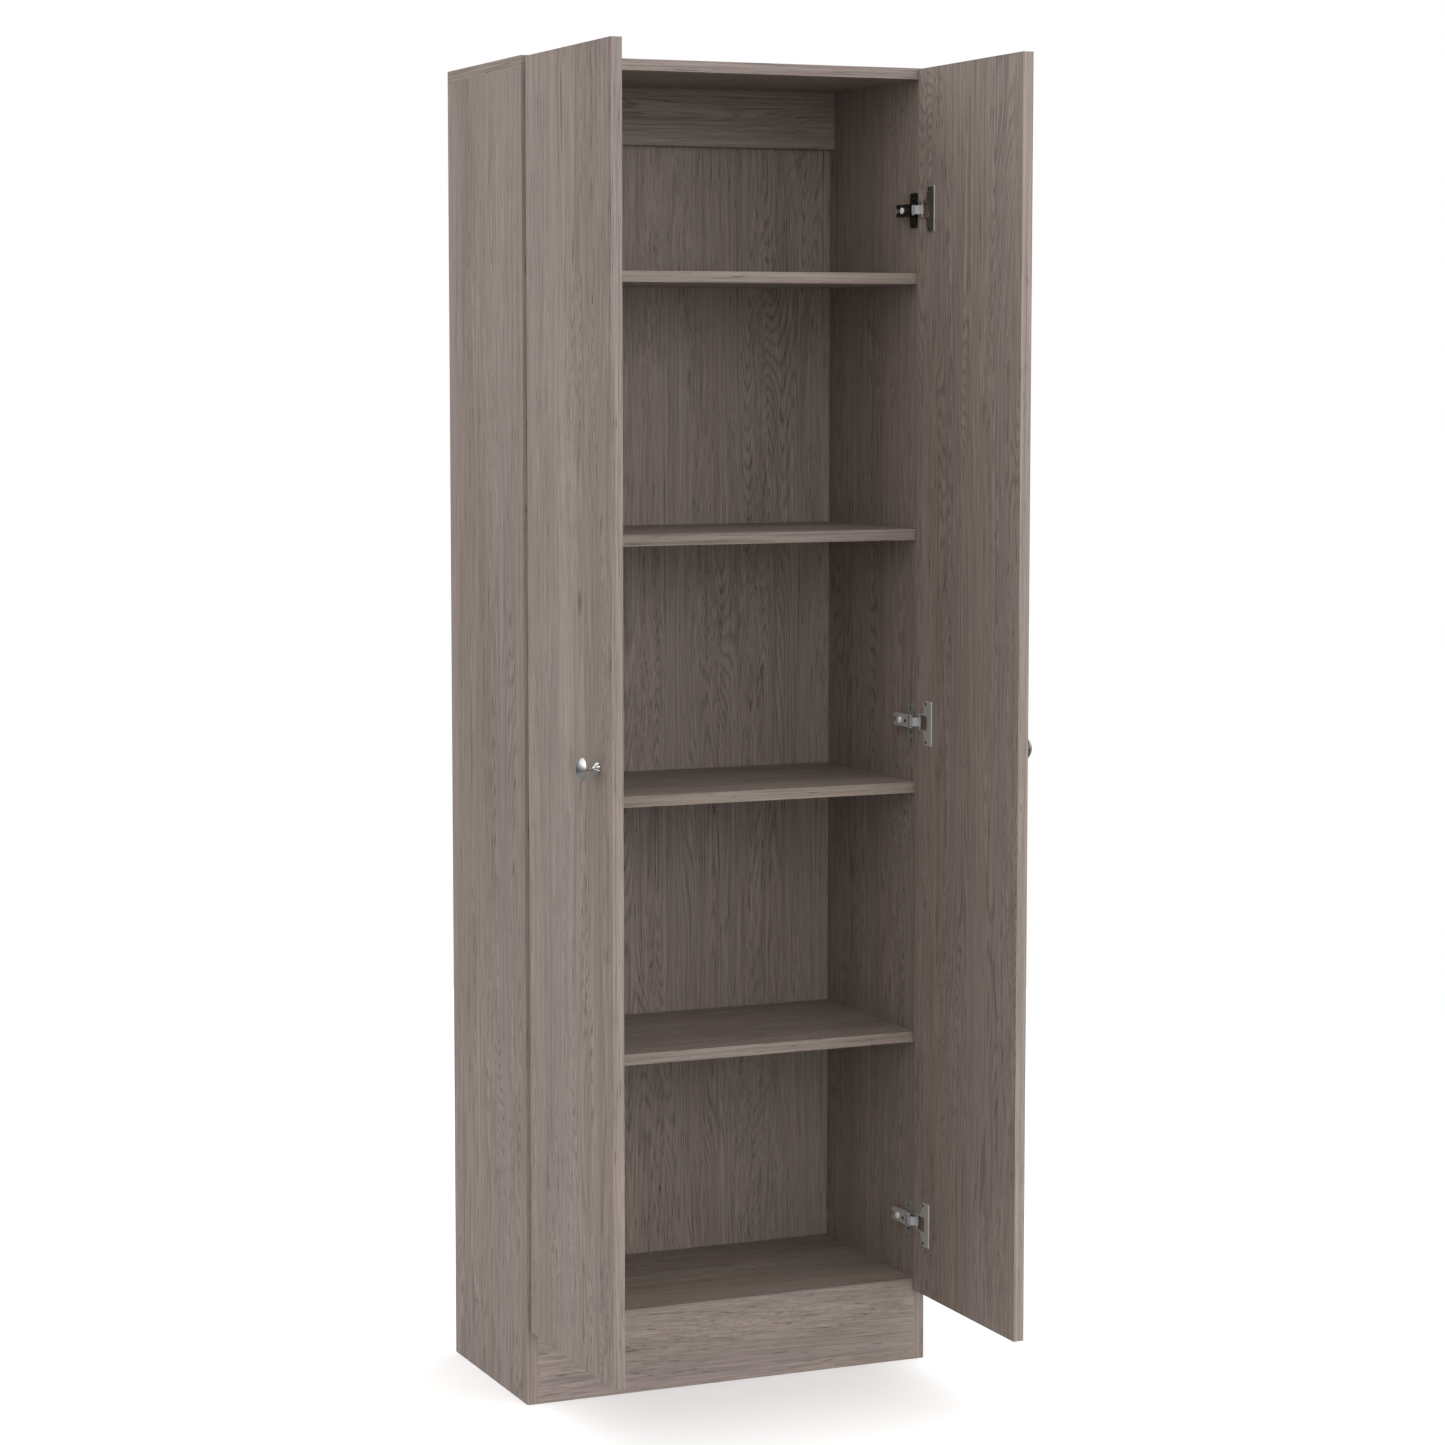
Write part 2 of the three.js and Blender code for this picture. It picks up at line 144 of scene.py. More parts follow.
def oak(name, box, grain, flat, seed, raw_rear=False):
    """Printed oak on a board: fibres along the grain axis, flat is the axis through the board."""
    s = Shader(name)
    low, high = box
    width = next(a for a in AXES if a not in (grain, flat))
    where = s.node("ShaderNodeTexCoord")
    place = s.node("ShaderNodeSeparateXYZ", {0: where.outputs["Object"]}).outputs
    facing = s.node("ShaderNodeSeparateXYZ", {0: where.outputs["Normal"]}).outputs
    toward = {a: s.calc("ABSOLUTE", facing[i]) for i, a in enumerate(AXES)}
    at = {a: place[i] for i, a in enumerate(AXES)}

    # the banding on the ends has its fibres along the edge, as it is on the sides
    on_end = s.calc("GREATER_THAN", toward[grain], 0.7)
    along = s.blend(on_end, at[grain], at[width])
    across = s.blend(on_end, at[width], at[flat])
    deep = s.blend(on_end, at[flat], at[grain])
    shift = Vector((3.1, 7.7, 1.9)) * seed
    point = s.vector(
        s.calc("ADD", across, shift.x), s.calc("ADD", deep, shift.y), s.calc("ADD", along, shift.z)
    )

    # tone: broad bands, arched rings, fibres and pores, from the widest to the finest
    bands = s.noise(s.scaled(point, (12, 12, 0.5)), 2.0)
    sway = s.noise(s.scaled(point, (11, 11, 0.95)), 1.5, 0.4)
    rings = s.calc("SINE", s.calc("MULTIPLY", sway, 560.0))
    rings = s.calc("POWER", s.calc("MULTIPLY_ADD", rings, 0.5, 0.5), 2.6)
    figured = s.step(s.noise(s.scaled(point, (6, 6, 0.7)), 1.0), 0.4, 0.58)
    edge = s.calc("LESS_THAN", toward[flat], 0.5)
    on_face = s.calc("SUBTRACT", 1.0, edge)
    lean = s.calc("MULTIPLY", s.calc("SUBTRACT", sway, 0.5), s.calc("MULTIPLY", on_face, 0.09))
    leaning = s.vector(lean, lean, 0.0)
    fibre_point = s.node("ShaderNodeVectorMath", {0: point, 1: leaning}).outputs[0]
    streaks = s.noise(s.scaled(fibre_point, (210, 210, 1.8)), 3.0, 0.62)
    fibres = s.noise(s.scaled(fibre_point, (880, 880, 8)), 2.0, 0.65)
    pores = s.noise(s.scaled(fibre_point, (1300, 1300, 26)), 1.0)
    pores = s.calc("MULTIPLY", s.step(pores, 0.55, 0.7), s.blend(rings, 0.4, 1.0))
    ticks = s.step(s.noise(s.scaled(fibre_point, (520, 520, 24)), 1.0), 0.67, 0.76)
    cell_point = s.scaled(fibre_point, (6, 6, 2.6))
    cells = s.node("ShaderNodeTexVoronoi", {"Vector": cell_point, "Scale": 1.0})
    knot = s.calc("SUBTRACT", 1.0, s.step(cells.outputs["Distance"], 0.005, 0.06))
    drawn = s.node("ShaderNodeSeparateColor", {0: cells.outputs["Color"]}).outputs[0]
    knot = s.calc("MULTIPLY", knot, s.calc("GREATER_THAN", drawn, 0.66))

    # the narrow banding on the edges is straight grained
    knot = s.calc("MULTIPLY", knot, on_face)
    figured = s.calc("MULTIPLY", figured, on_face)

    tone = s.calc("MULTIPLY_ADD", s.calc("SUBTRACT", bands, 0.5), 0.38, 0.69)
    tone = s.calc("MULTIPLY_ADD", s.calc("SUBTRACT", streaks, 0.5), 0.8, tone)
    tone = s.calc("MULTIPLY_ADD", s.calc("SUBTRACT", fibres, 0.5), 0.95, tone)
    tone = s.calc("MULTIPLY_ADD", s.calc("MULTIPLY", rings, figured), -0.21, tone)
    tone = s.calc("MULTIPLY_ADD", pores, -0.28, tone)
    tone = s.calc("MULTIPLY_ADD", ticks, -0.45, tone)
    tone = s.calc("MULTIPLY_ADD", knot, s.blend(fibres, -0.7, -0.1), tone)
    tone = s.calc("MULTIPLY_ADD", edge, -0.03, tone)
    base = s.tint(s.calc("MAXIMUM", s.calc("MINIMUM", tone, 1.0), 0.0), OAK_DARK, OAK_PALE)
    hue = s.step(s.noise(s.scaled(point, (13, 13, 0.9)), 2.0), 0.35, 0.65)
    base = s.tint(1.0, base, s.tint(hue, OAK_MAUVE, OAK_STRAW), "MULTIPLY")

    # the fine line where the banding meets the face
    gaps = []
    for axis in (grain, width):
        i = AXES.index(axis)
        gaps.append(s.calc("SUBTRACT", at[axis], low[i]))
        gaps.append(s.calc("SUBTRACT", high[i], at[axis]))
    near_end = s.calc("MINIMUM", gaps[0], gaps[1])
    near_side = s.calc("MINIMUM", gaps[2], gaps[3])
    nearest = s.calc("MINIMUM", near_end, near_side)
    line = s.calc("COMPARE", nearest, BAND_LINE, BAND_LINE_HALF)
    line = s.calc("MULTIPLY", line, s.calc("GREATER_THAN", toward[flat], 0.9))
    base = s.tint(s.calc("MULTIPLY", line, 0.3), base, OAK_DARK)
    if raw_rear:
        pulp = s.noise(s.scaled(point, (420, 420, 420)), 4.0, 0.7)
        patches = s.noise(s.scaled(point, (7, 7, 7)), 3.0, 0.55)
        speckle = s.blend(0.2, pulp, patches)
        bare = s.tint(s.step(speckle, 0.3, 0.7), RAW_DARK, RAW_PALE)
        base = s.tint(s.calc("GREATER_THAN", facing[1], 0.5), base, bare)

    s.put(base, s.surface.inputs["Base Color"])
    s.put(s.calc("MULTIPLY_ADD", streaks, -0.14, 0.62), s.surface.inputs["Roughness"])
    s.surface.inputs["Specular IOR Level"].default_value = 0.32
    height = s.calc("MULTIPLY_ADD", fibres, 0.5, s.calc("MULTIPLY", pores, -0.8))
    s.bump(height, 0.00012, 0.5)
    return s.material


# ---- metals ----
def metal(name, tint, rough, spread, metallic=1.0, grit=900.0, gloss=0.5):
    s = Shader(name)
    place = s.node("ShaderNodeTexCoord").outputs["Object"]
    cloud = s.noise(s.scaled(place, (90, 90, 90)), 3.0, 0.6)
    fine = s.noise(s.scaled(place, (grit, grit, grit)), 2.0)
    pale = tuple(min(1.0, c * 1.06) for c in tint) + (1.0,)
    dull = tuple(c * 0.9 for c in tint) + (1.0,)
    s.put(s.tint(cloud, dull, pale), s.surface.inputs["Base Color"])
    s.surface.inputs["Metallic"].default_value = metallic
    s.surface.inputs["Specular IOR Level"].default_value = gloss
    s.put(s.calc("MULTIPLY_ADD", cloud, spread, rough - spread / 2), s.surface.inputs["Roughness"])
    s.bump(fine, 0.00002, 0.35)
    return s.material


NICKEL = metal("satin_nickel", (0.46, 0.455, 0.435), 0.42, 0.12, 0.35)
# darker nickel for the mounting plates: painted shade
PLATE_SHADE_NICKEL = metal("painted_shade_plate_nickel", (0.3, 0.3, 0.285), 0.46, 0.12, 0.35)
# lighter nickel for the flange's side faces: a painted highlight along its edges
EDGE_HIGHLIGHT_NICKEL = metal("painted_highlight_edge_nickel", (0.56, 0.555, 0.53), 0.5, 0.1, 0.15)
# darker copies of the nickel for the upper hinges, painted shade: polished nickel for the cups,
# near black for the arms and plates
UPPER_SHADE_NICKEL = metal("painted_shade_polished_nickel", (0.34, 0.34, 0.325), 0.16, 0.05, 1.0)
UPPER_SHADE_BLACK = metal("painted_shade_black_nickel", (0.06, 0.06, 0.059), 0.2, 0.05, 1.0)
STEEL = metal("bright_zinc", (0.43, 0.435, 0.45), 0.46, 0.1, 0.3)
# near-white zinc for the fixing screws' heads: a painted highlight
HIGHLIGHT_ZINC = metal("painted_highlight_zinc", (0.88, 0.88, 0.88), 0.35, 0.1, 0.15)
# near-black zinc for the adjusting and plate screws: painted shade
SHADE_DARK_ZINC = metal("painted_shade_dull_zinc", (0.07, 0.07, 0.068), 0.42, 0.1, 0.7)
# near-black zinc for the flange screws: painted shade in their holes
HOLE_SHADE_ZINC = metal("painted_shade_black_zinc", (0.015, 0.015, 0.015), 0.6, 0.1, 0.0, gloss=0.12)
CHROME = metal("polished_nickel", (0.58, 0.58, 0.575), 0.25, 0.05, 1.0, 300.0)
# dark brown for the cup's hollow inside the door: painted shade in the recess
CUP_SHADE = metal("painted_shade_cup_recess", (0.3, 0.22, 0.18), 0.5, 0.1, 0.2)


def dress(node, material):
    """Gives a CAD node its only material."""
    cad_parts[node].data.materials.clear()
    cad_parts[node].data.materials.append(material)


def soften(node, radius, segments=2):
    """Rounds a CAD node's sharp edges a little, inside its own box."""
    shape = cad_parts[node]
    rounding = shape.modifiers.new("edge rounding", "BEVEL")
    rounding.width = radius
    rounding.segments = segments
    rounding.limit_method = "ANGLE"
    rounding.angle_limit = math.radians(40)
    rounding.harden_normals = True


# ---- boards ----
BOARDS = {                        # grain axis, and the axis through the board
    "top_panel": "XZ",
    "toe_kick": "XY",
    "bottom_panel": "XZ",
    "back_panel": "ZY",
    "top_rail": "XY",
    "left_side_panel": "ZX",
    "right_side_panel": "ZX",
    "left_door": "ZX",
    "right_door": "ZX",
}
BOARDS.update({n: "XZ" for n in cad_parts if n.startswith("shelf_")})
BOARD_EDGE = 0.6 * MM             # rounding of the banded edges
THIN_EDGE = 0.25 * MM             # rounding of the back panel's and the pressed metal's edges


def boards():
    for seed, (node, (grain, flat)) in enumerate(sorted(BOARDS.items()), 1):
        thin = node == "back_panel"
        dress(node, oak(f"oak_{node}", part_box(node), grain, flat, seed, raw_rear=thin))
        soften(node, THIN_EDGE if thin else BOARD_EDGE)


# ---- mesh helpers for the metal pieces ----
def piece(name, mesh, material, body, stands_for=(), place=(0, 0, 0)):
    """Adds one mesh piece that rides on a CAD body, in place of the CAD nodes it stands for."""
    shape = bpy.data.objects.new(name, mesh)
    shape.location = place
    mesh.materials.clear()
    mesh.materials.append(material)
    bpy.context.scene.collection.objects.link(shape)
    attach(shape, body)
    if stands_for:
        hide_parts(*stands_for)
    return shape


def smooth(mesh, sharp_angle=35):
    mesh.polygons.foreach_set("use_smooth", [True] * len(mesh.polygons))
    mesh.set_sharp_from_angle(angle=math.radians(sharp_angle))
    return mesh


def mesh_of(name, points, faces):
    mesh = bpy.data.meshes.new(name)
    mesh.from_pydata(points, [], faces)
    mesh.update()
    return mesh


def loft(name, rings, sharp_angle=35):
    """Joins closed rings of equally many points, with a flat face over each end."""
    count = len(rings[0])
    points = [point for ring in rings for point in ring]
    faces = [tuple(reversed(range(count)))]
    for level in range(len(rings) - 1):
        near, far = level * count, (level + 1) * count
        for i in range(count):
            j = (i + 1) % count
            faces.append((near + i, near + j, far + j, far + i))
    faces.append(tuple(range((len(rings) - 1) * count, len(rings) * count)))
    return smooth(mesh_of(name, points, faces), sharp_angle)


def lathe(name, profile, sides=48, reshape=None):
    """Turns (radius, height) pairs about +X, with the height along +X.

    reshape(radius, height, angle) gives the radius where the form isn't round."""
    rings = []
    for radius, height in profile:
        ring = []
        for i in range(sides):
            angle = 2 * math.pi * i / sides
            r = reshape(radius, height, angle) if reshape else radius
            ring.append((height, r * math.cos(angle), r * math.sin(angle)))
        rings.append(ring)
    return loft(name, rings)


def between(p, q, r, s, t):
    """The number at t from q to r on a Catmull-Rom curve through p, q, r and s."""
    square = (2 * p - 5 * q + 4 * r - s) * t**2
    cube = (3 * q - p - 3 * r + s) * t**3
    return 0.5 * (2 * q + (r - p) * t + square + cube)


def rounded(points, steps=6):
    """A smooth line through the given points."""
    line = []
    last = len(points) - 1
    for i in range(last):
        around = [points[max(0, min(last, i + k))] for k in (-1, 0, 1, 2)]
        for n in range(steps):
            line.append(tuple(between(*four, n / steps) for four in zip(*around)))
    return [*line, points[-1]]


def arc(centre, radius, start, end, steps=12):
    """Points on an arc, angles in degrees."""
    angles = [math.radians(start + (end - start) * n / steps) for n in range(steps + 1)]
    return [(centre[0] + radius * math.cos(t), centre[1] + radius * math.sin(t)) for t in angles]


def round_box(low, high, radius, steps=8):
    """Outline of a rounded rectangle, anticlockwise."""
    (x0, y0), (x1, y1) = low, high
    return [
        *arc((x1 - radius, y0 + radius), radius, -90, 0, steps),
        *arc((x1 - radius, y1 - radius), radius, 0, 90, steps),
        *arc((x0 + radius, y1 - radius), radius, 90, 180, steps),
        *arc((x0 + radius, y0 + radius), radius, 180, 270, steps),
    ]


def soft_corners(corners, steps=6):
    """Outline with each (x, y, radius) corner rounded."""
    outline = []
    for i, (x, y, radius) in enumerate(corners):
        here = Vector((x, y))
        before = Vector(corners[i - 1][:2]) - here
        after = Vector(corners[(i + 1) % len(corners)][:2]) - here
        start = here + before.normalized() * radius
        end = here + after.normalized() * radius
        for n in range(steps + 1):
            t = n / steps
            outline.append(tuple(start * (1 - t) ** 2 + here * 2 * t * (1 - t) + end * t**2))
    return outline


def sheet(name, outline, holes, low, high, edge):
    """A sheet with holes and rounded edges, its outline in Y and Z, from low to high in X."""
    curve = bpy.data.curves.new(name, "CURVE")
    curve.dimensions = "2D"
    curve.fill_mode = "BOTH"
    curve.extrude = (high - low) / 2 - edge
    curve.bevel_depth = edge
    curve.bevel_resolution = 2
    curve.offset = -edge
    for ring in (outline, *holes):
        spline = curve.splines.new("POLY")
        spline.points.add(len(ring) - 1)
        for point, (x, y) in zip(spline.points, ring):
            point.co = (x, y, 0, 1)
        spline.use_cyclic_u = True
    holder = bpy.data.objects.new(name, curve)
    mesh = bpy.data.meshes.new_from_object(holder)
    bpy.data.objects.remove(holder)
    bpy.data.curves.remove(curve)
    middle = (low + high) / 2
    for v in mesh.vertices:
        x, y, z = v.co
        v.co = (z + middle, x, y)
    return smooth(mesh)


def joined(name, meshes):
    """One mesh from several."""
    build = bmesh.new()
    for mesh in meshes:
        build.from_mesh(mesh)
        bpy.data.meshes.remove(mesh)
    made = bpy.data.meshes.new(name)
    build.to_mesh(made)
    build.free()
    return smooth(made)


def moved(mesh, x=0.0, y=0.0, z=0.0):
    mesh.transform(Matrix.Translation((x, y, z)))
    return mesh


def facing(mesh, side):
    """The mesh as it is for the left of the cabinet, mirrored for the right."""
    if side == "left":
        return mesh
    mesh.transform(Matrix.Scale(-1, 4, (1, 0, 0)))
    mesh.flip_normals()
    return smooth(mesh)


# ---- screws and pins ----
SCREW_SIDES = 40
PIN_SIDES = 32


def screw_mesh(name, radius, height, recess, dome=0.35):
    """A screw head with a cross recess, from its seat at X = 0 to the top of the head."""
    rim = height * (1 - dome)
    profile = [(0.0, 0.0), (radius * 0.97, 0.0), (radius, 0.04 * height), (radius, rim)]
    for angle in (20, 40, 60, 75, 86):
        t = math.radians(angle)
        profile.append((radius * math.cos(t), rim + (height - rim) * math.sin(t)))
    head = lathe(name, profile, SCREW_SIDES)
    half, arm = radius * 0.13, radius * 0.62
    cross = [
        (half, half), (half, arm), (-half, arm), (-half, half),
        (-arm, half), (-arm, -half), (-half, -half), (-half, -arm),
        (half, -arm), (half, -half), (arm, -half), (arm, half),
    ]
    deep = [(height - recess, y * 0.7, z * 0.7) for y, z in cross]
    above = [(height * 1.5, y * 1.1, z * 1.1) for y, z in cross]
    tool = bpy.data.objects.new("recess", loft("recess", [deep, above]))
    shape = bpy.data.objects.new(name, head)
    for thing in (tool, shape):
        bpy.context.scene.collection.objects.link(thing)
    cut = shape.modifiers.new("recess", "BOOLEAN")
    cut.operation = "DIFFERENCE"
    cut.object = tool
    bpy.context.view_layer.update()
    cut_shape = shape.evaluated_get(bpy.context.evaluated_depsgraph_get())
    ready = bpy.data.meshes.new_from_object(cut_shape)
    for thing in (tool, shape):
        mesh = thing.data
        bpy.data.objects.remove(thing)
        bpy.data.meshes.remove(mesh)
    return smooth(ready)


def upright_pin(name, radius, low, high, edge):
    """A round pin along Z with softened ends."""
    turns = [2 * math.pi * i / PIN_SIDES for i in range(PIN_SIDES)]
    inner = radius - edge
    profile = [(inner, low), (radius, low + edge), (radius, high - edge), (inner, high)]
    rings = [[(r * math.cos(t), r * math.sin(t), z) for t in turns] for r, z in profile]
    return loft(name, rings)


# ---- knobs ----
KNOB_PROFILE = [                  # radius and height off the door, mm
    (8.2, 0), (8.2, 0.8), (7.5, 2.0), (6.2, 3.6), (4.6, 5.2), (3.0, 6.8), (2.3, 8.4),
    (2.2, 11.4), (2.2, 15), (2.6, 16.8), (4.4, 17.9), (8.4, 19.3), (12.6, 20.6),
    (14.9, 21.4), (15.15, 21.9), (14.7, 22.8), (12.9, 24.6), (10.2, 26.5), (7, 27.9),
    (3.6, 28.8), (0.4, 29),
]
KNOB_RADIUS = 15.2
KNOB_HEIGHT = 29
KNOB_SIDES = 128
FLUTES = 8
FLUTE_TOP = 7.6                   # where the flutes die out on the neck, mm
FLUTE_DEPTH = 0.33                # of the foot's radius


def fluted(radius, height, angle):
    """The radius of the knob's foot with its flutes, sizes in mm of the profile."""
    fade = max(0.0, 1 - height / FLUTE_TOP)
    groove = (0.5 + 0.5 * math.cos(FLUTES * angle)) ** 2.6
    return radius * (1 - FLUTE_DEPTH * groove * min(1.0, 3 * fade))


def knobs():
    for side in ("left", "right"):
        low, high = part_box(f"{side}_knob")
        across = (high.z - low.z) / 2 / KNOB_RADIUS
        tall = (high.x - low.x) / KNOB_HEIGHT
        name = f"{side}_turned_knob"
        mesh = lathe(name, rounded(KNOB_PROFILE), KNOB_SIDES, fluted)
        outward = -1 if side == "left" else 1
        mesh.transform(Matrix.Diagonal((outward * tall, across, across, 1)))
        if outward < 0:
            mesh.flip_normals()
        smooth(mesh, 50)
        base = high.x if side == "left" else low.x
        place = (base, (low.y + high.y) / 2, (low.z + high.z) / 2)
        piece(name, mesh, CHROME, f"{side}_door", [f"{side}_knob"], place)


# ---- hinges, worked out for the left side and mirrored for the right ----
LINK_BOW = 10.4 * MM              # how far the bend's control point stands off the pins' line
LINK_HALF = 1.15 * MM             # half the strip's thickness
LINK_EYE = 2.45 * MM              # outer radius of the eyes
LINK_EDGE = 0.3 * MM
LINK_STEPS = 28


def strip_outline(spine, half, z):
    """The strip's outline at height z, half as thick as given to each side of its middle line."""
    near, far = [], []
    last = len(spine) - 1
    for i, point in enumerate(spine):
        along = (spine[min(i + 1, last)] - spine[max(i - 1, 0)]).normalized()
        off = Vector((-along.y, along.x)) * half
        near.append((*(point - off), z))
        far.append((*(point + off), z))
    return [*near, *reversed(far)]


def hinge_links(side, level):
    """The bright curved strip between the two pins, with a curled eye round each."""
    name = f"{side}_{level}_hinge"
    ends = []
    for pin in ("arm_pin", "cup_pin"):
        low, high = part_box(f"{name}_{pin}")
        ends.append(Vector(((low.x + high.x) / 2, (low.y + high.y) / 2)))
    if side == "right":
        ends = [Vector((-end.x, end.y)) for end in ends]
    low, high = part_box(f"{name}_link")
    reach = ends[1] - ends[0]
    outward = Vector((-reach.y, reach.x)).normalized()
    control = (ends[0] + ends[1]) / 2 + outward * LINK_BOW
    spine = []
    for n in range(LINK_STEPS + 1):
        t = n / LINK_STEPS
        spine.append(ends[0] * (1 - t) ** 2 + control * 2 * t * (1 - t) + ends[1] * t**2)
    rings = [
        strip_outline(spine, LINK_HALF - LINK_EDGE, low.z),
        strip_outline(spine, LINK_HALF, low.z + LINK_EDGE),
        strip_outline(spine, LINK_HALF, high.z - LINK_EDGE),
        strip_outline(spine, LINK_HALF - LINK_EDGE, high.z),
    ]
    eyes = [moved(upright_pin("eye", LINK_EYE, low.z, high.z, LINK_EDGE), *end) for end in ends]
    strip = facing(joined(f"{name}_strip", [loft("band", rings), *eyes]), side)
    piece(f"{name}_strip", strip, STEEL, f"{side}_links", [f"{name}_link"])


def hinge_pins(side, level):
    name = f"{side}_{level}_hinge"
    for pin, body in (("arm_pin", "carcass"), ("cup_pin", f"{side}_door")):
        low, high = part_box(f"{name}_{pin}")
        radius = (high.x - low.x) / 2
        mesh = upright_pin(f"{name}_{pin}_turned", radius, low.z, high.z, 0.4 * MM)
        moved(mesh, (low.x + high.x) / 2, (low.y + high.y) / 2)
        piece(f"{name}_{pin}_turned", mesh, STEEL, body, [f"{name}_{pin}"])


CUP_ACROSS = (5.6, 38.6)          # the cup's ends, from the door's hinge edge, mm
CUP_HALF = 11.4 * MM
CUP_ROUND = 5 * MM
NECK = 23                         # where the flange starts to widen, from the hinge edge, mm
WING = (28, 50.5)                 # the flange's tall bar, from the hinge edge, mm
WING_HALF = 31 * MM
WING_CORNER = 3.5 * MM
FLANGE = 1.6 * MM
FLANGE_EDGE = 0.35 * MM
FLANGE_BORE = 2.6 * MM
SCREW_ACROSS = 33                 # the flange screws, from the hinge edge, mm
SCREW_HALF = 26.6 * MM
SCREW_SINK = 1.05 * MM            # the screws' seat, below the flange's face
WALL = 1 * MM


def flange_outline(tip, across):
    """Outline of the flange in Y and Z; across gives Y from a distance to the door's hinge edge."""
    neck, bar_near, bar_far = across(NECK), across(WING[0]), across(WING[1])
    upper = [                     # y, z and corner radius
        (tip, CUP_HALF, 4 * MM),
        (neck, CUP_HALF, 3 * MM),
        (bar_near, CUP_HALF + 5 * MM, 2.5 * MM),
        (bar_near, WING_HALF - WING_CORNER, 2 * MM),
        (bar_near - WING_CORNER, WING_HALF, 2 * MM),
        (bar_far, WING_HALF, 2 * MM),
    ]
    lower = [(y, -z, r) for y, z, r in reversed(upper)]
    return soft_corners([*upper, *lower])


def bowl_mesh(bottom, face, top, near, far):
    """The cup's bowl, open towards +X: its outside from bottom to face, its inside up to top."""

    def ring(x, grow, radius):
        box = round_box((far - grow, -CUP_HALF - grow), (near + grow, CUP_HALF + grow), radius)
        return [(x, y, z) for y, z in box]

    outer = loft("outer", [
        ring(face, 0.0, CUP_ROUND),
        ring(bottom + 1.2 * MM, 0.0, CUP_ROUND),
        ring(bottom + 0.3 * MM, -0.4 * MM, CUP_ROUND),
        ring(bottom, -1.3 * MM, 4.5 * MM),
    ])
    inner = loft("inner", [
        ring(bottom + WALL, -3 * MM, 3.4 * MM),
        ring(bottom + 1.4 * MM, -1.8 * MM, 4 * MM),
        ring(bottom + 2.6 * MM, -WALL, 4 * MM),
        ring(top - 0.3 * MM, -WALL, 4 * MM),
    ])
    inner.flip_normals()
    build = bmesh.new()
    for mesh in (outer, inner):
        build.from_mesh(mesh)
        bpy.data.meshes.remove(mesh)
    build.faces.ensure_lookup_table()
    caps = [f for f in build.faces if len(f.verts) > 4]
    lids = [f for f in caps if f.calc_center_median().x > bottom + 2 * WALL]
    bmesh.ops.delete(build, geom=lids, context="FACES_ONLY")
    bowl = bpy.data.meshes.new("bowl")
    build.to_mesh(bowl)
    build.free()
    return smooth(bowl)


def hinge_cup(side, level, finish_and_painted_light):
    """The flange with its rounded corners, the cup sunk into the door and the two flange screws."""
    name = f"{side}_{level}_hinge"
    body = f"{side}_door"
    low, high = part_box(f"{name}_cup")
    middle = (low.z + high.z) / 2
    if side == "right":
        low.x, high.x = -high.x, -low.x
    tip, top = high.y, high.x
    face = top - FLANGE
    edge_y = tip + CUP_ACROSS[0] * MM

    def across(mm):
        return edge_y - mm * MM

    far = across(CUP_ACROSS[1])
    mouth = round_box((far + WALL, -CUP_HALF + WALL), (tip - WALL, CUP_HALF - WALL), 4 * MM)
    screws = [(across(SCREW_ACROSS), end * SCREW_HALF) for end in (-1, 1)]
    holes = [mouth, *(arc(centre, FLANGE_BORE, 0, 345, 23) for centre in screws)]
    flange = sheet("flange", flange_outline(tip, across), holes, face, top, FLANGE_EDGE)
    bowl = bowl_mesh(low.x, face, top, tip, far)
    cup = facing(moved(joined(f"{name}_pressed_cup", [flange, bowl]), z=middle), side)
    piece(f"{name}_pressed_cup", cup, finish_and_painted_light, body, [f"{name}_cup"])
    cup.materials.append(CUP_SHADE)
    cup.materials.append(EDGE_HIGHLIGHT_NICKEL)
    for polygon in cup.polygons:
        # faces below the flange take CUP_SHADE, painted shade inside the cup
        if abs(abs(polygon.center.x) - abs(top)) > FLANGE * 1.05:
            polygon.material_index = 1
        # the flange's side faces take a lighter nickel, a painted highlight along its edges
        elif abs(polygon.normal.x) < 0.8:
            polygon.material_index = 2
    # the flange screws' near-black heads are painted shade in their holes
    for n, (y, z) in enumerate(screws, 1):
        head = facing(moved(FLANGE_SCREW.copy(), top - SCREW_SINK, y, z + middle), side)
        piece(f"{name}_flange_screw_{n}", head, HOLE_SHADE_ZINC, body)


FLANGE_SCREW = screw_mesh("flange_screw", 2.5 * MM, 1.2 * MM, 0.8 * MM)
FIXING_SCREW = screw_mesh("fixing_screw", 4.3 * MM, 2.2 * MM, 1.6 * MM, 0.2)
ADJUSTING_SCREW = screw_mesh("adjusting_screw", 2.3 * MM, 1.4 * MM, 0.8 * MM, 0.2)
PLATE_SCREW = screw_mesh("plate_screw", 1.75 * MM, 1.5 * MM, 0.7 * MM)
FIXING_SEAT = 2.2 * MM            # below the top of the fixing screw
ARM_WEB = 1.2 * MM                # thickness of the arm over the adjusting screw
ADJUSTER_AHEAD = 16 * MM          # from the fixing screw towards the door
PLATE_SCREW_IN = 10 * MM          # from the front of the plate
PLATE_SCREW_HALF = 16.5 * MM


